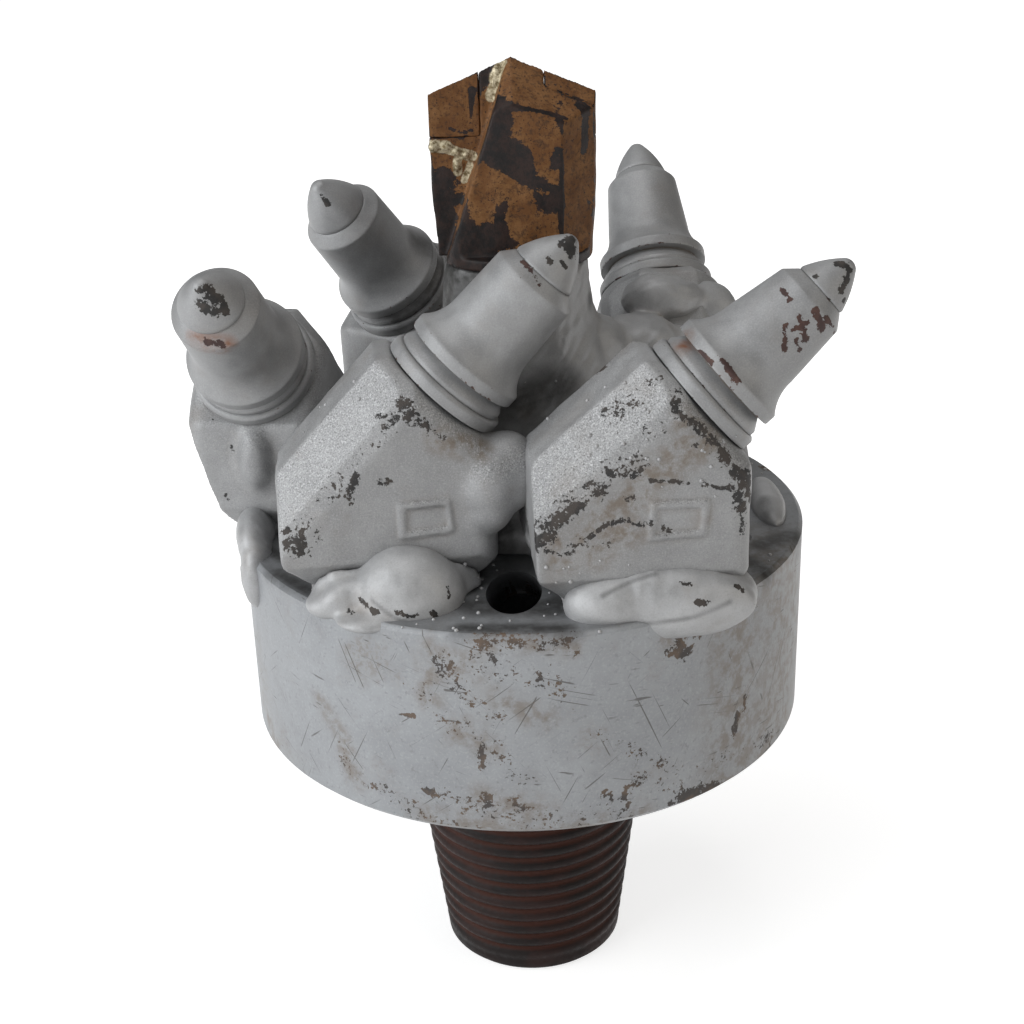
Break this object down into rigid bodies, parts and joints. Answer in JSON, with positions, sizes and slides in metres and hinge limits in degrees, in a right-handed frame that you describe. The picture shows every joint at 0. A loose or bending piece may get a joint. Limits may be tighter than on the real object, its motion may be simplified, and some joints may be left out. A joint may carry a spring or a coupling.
{
  "type": "jet grouting bit",
  "caption": "Round crown on a tapered threaded drill pin, with welded holders carrying turning conical picks and a two-wing pilot bit on a central hub.",
  "frame": {"origin": "centre of the pin's lower end face, on the drilling axis", "axes": "+Z along the drilling axis from the pin to the pilot bit's point; +X to the right in the picture; the bit turns anticlockwise seen from +Z"},
  "size_m": [0.1747, 0.1758, 0.2715],
  "materials": {
    "crown_paint": "satin aluminium paint, scratched",
    "weld_paint": "painted weld metal",
    "holder_paint": "grainy aluminium paint with dark chips",
    "pick_paint": "satin aluminium paint",
    "washer_steel": "painted steel",
    "tip_carbide": "dull carbide",
    "pilot_steel": "worn ochre paint over dark steel",
    "pilot_carbide": "dull carbide with ochre paint",
    "pin_steel": "dark oiled steel with light rust",
    "sleeve_steel": "spring steel"
  },
  "bodies": {
    "bit": {"crown_body": "crown_paint", "threaded_pin": "pin_steel", "hub_post": "weld_paint", "pilot_bit": "pilot_steel", "pilot_insert_left": "pilot_carbide", "pilot_insert_right": "pilot_carbide", "pick_holder_a": "holder_paint", "foot_weld_a": "weld_paint", "spring_sleeve_a": "sleeve_steel", "pick_holder_b": "holder_paint", "foot_weld_b": "weld_paint", "spring_sleeve_b": "sleeve_steel", "pick_holder_c": "holder_paint", "foot_weld_c": "weld_paint", "spring_sleeve_c": "sleeve_steel", "pick_holder_d": "holder_paint", "foot_weld_d": "weld_paint", "spring_sleeve_d": "sleeve_steel", "pick_holder_e": "holder_paint", "foot_weld_e": "weld_paint", "spring_sleeve_e": "sleeve_steel"},
    "pick_a_turning": {"pick_a": "pick_paint", "carbide_tip_a": "tip_carbide", "wear_washer_a": "washer_steel"},
    "pick_b_turning": {"pick_b": "pick_paint", "carbide_tip_b": "tip_carbide", "wear_washer_b": "washer_steel"},
    "pick_c_turning": {"pick_c": "pick_paint", "carbide_tip_c": "tip_carbide", "wear_washer_c": "washer_steel"},
    "pick_d_turning": {"pick_d": "pick_paint", "carbide_tip_d": "tip_carbide", "wear_washer_d": "washer_steel"},
    "pick_e_turning": {"pick_e": "pick_paint", "carbide_tip_e": "tip_carbide", "wear_washer_e": "washer_steel"}
  },
  "joints": [
    {"name": "pick_a_spin", "type": "hinge", "parent": "bit", "child": "pick_a_turning", "pos_m": [-0.02036, -0.03628, 0.1938], "axis": [0.6797, 0.0702, 0.7302], "continuous": true},
    {"name": "pick_b_spin", "type": "hinge", "parent": "bit", "child": "pick_b_turning", "pos_m": [0.04428, -0.04867, 0.1937], "axis": [0.7543, 0.0766, 0.6521], "continuous": true},
    {"name": "pick_c_spin", "type": "hinge", "parent": "bit", "child": "pick_c_turning", "pos_m": [-0.07252, -0.00507, 0.1906], "axis": [-0.1162, -0.7257, 0.6782], "continuous": true},
    {"name": "pick_d_spin", "type": "hinge", "parent": "bit", "child": "pick_d_turning", "pos_m": [-0.03461, 0.04999, 0.1964], "axis": [-0.4079, -0.5222, 0.749], "continuous": true},
    {"name": "pick_e_spin", "type": "hinge", "parent": "bit", "child": "pick_e_turning", "pos_m": [0.04265, 0.04838, 0.1938], "axis": [-0.0759, 0.6556, 0.7513], "continuous": true}
  ]
}
